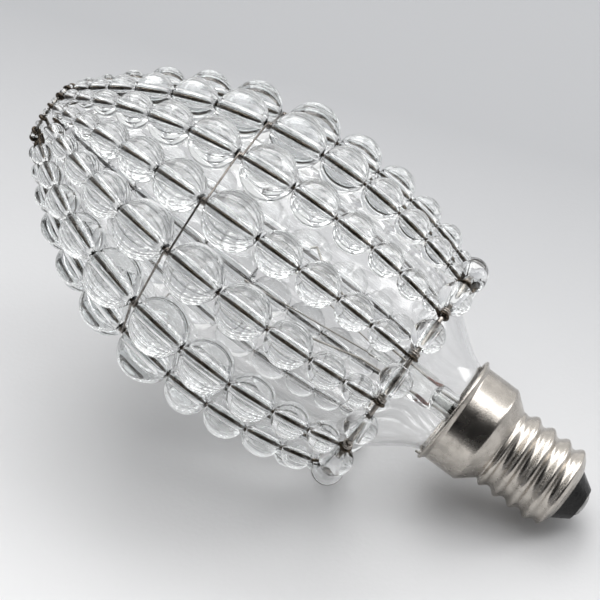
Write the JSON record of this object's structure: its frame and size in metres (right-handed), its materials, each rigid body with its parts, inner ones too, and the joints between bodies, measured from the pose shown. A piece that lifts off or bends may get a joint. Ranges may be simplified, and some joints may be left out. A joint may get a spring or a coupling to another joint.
{
  "type": "glass bead bulb cover",
  "caption": "Cage of drilled clear glass beads threaded on wire ribs between two rings, slipped over a clear candle bulb with a small screw cap.",
  "frame": {"origin": "outer tip of the centre contact of the bulb's screw cap, on the bulb's axis", "axes": "+Z along the bulb's axis from the screw cap to the tip; the rib rib_wire_01 lies on +X"},
  "size_m": [0.0522, 0.0518, 0.1026],
  "materials": {
    "bead_glass": "clear polished lead-free crystal, round, drilled",
    "bulb_glass": "clear blown soda-lime glass",
    "stem_glass": "clear pressed and drawn glass",
    "rib_wire": "drawn stainless wire",
    "ring_wire": "drawn stainless wire",
    "tie_wire": "fine annealed wire",
    "cap_metal": "satin nickel plate on pressed sheet",
    "solder": "dull tin solder",
    "insulator": "black glass, smooth",
    "cement": "fired cement, dull brown",
    "lead_wire": "nickel wire, copper-clad in the press",
    "filament_wire": "fine coiled tungsten"
  },
  "bodies": {
    "root": {"base_ring_beads": "bead_glass", "base_ring_wire": "ring_wire", "bulb_glass": "bulb_glass", "cap_cement": "cement", "cap_insulator": "insulator", "cap_shell": "cap_metal", "centre_contact": "solder", "exhaust_tube": "stem_glass", "filament": "filament_wire", "filament_supports": "lead_wire", "lead_to_contact": "lead_wire", "lead_to_shell": "lead_wire", "rib_beads_01": "bead_glass", "rib_beads_02": "bead_glass", "rib_beads_03": "bead_glass", "rib_beads_04": "bead_glass", "rib_beads_05": "bead_glass", "rib_beads_06": "bead_glass", "rib_beads_07": "bead_glass", "rib_beads_08": "bead_glass", "rib_beads_09": "bead_glass", "rib_beads_10": "bead_glass", "rib_beads_11": "bead_glass", "rib_beads_12": "bead_glass", "rib_beads_13": "bead_glass", "rib_beads_14": "bead_glass", "rib_wire_01": "rib_wire", "rib_wire_02": "rib_wire", "rib_wire_03": "rib_wire", "rib_wire_04": "rib_wire", "rib_wire_05": "rib_wire", "rib_wire_06": "rib_wire", "rib_wire_07": "rib_wire", "rib_wire_08": "rib_wire", "rib_wire_09": "rib_wire", "rib_wire_10": "rib_wire", "rib_wire_11": "rib_wire", "rib_wire_12": "rib_wire", "rib_wire_13": "rib_wire", "rib_wire_14": "rib_wire", "ring_wraps": "tie_wire", "side_solder": "solder", "stem_glass": "stem_glass", "tie_wire": "tie_wire", "tip_ring_beads": "bead_glass", "tip_ring_wire": "ring_wire"}
  },
  "joints": []
}
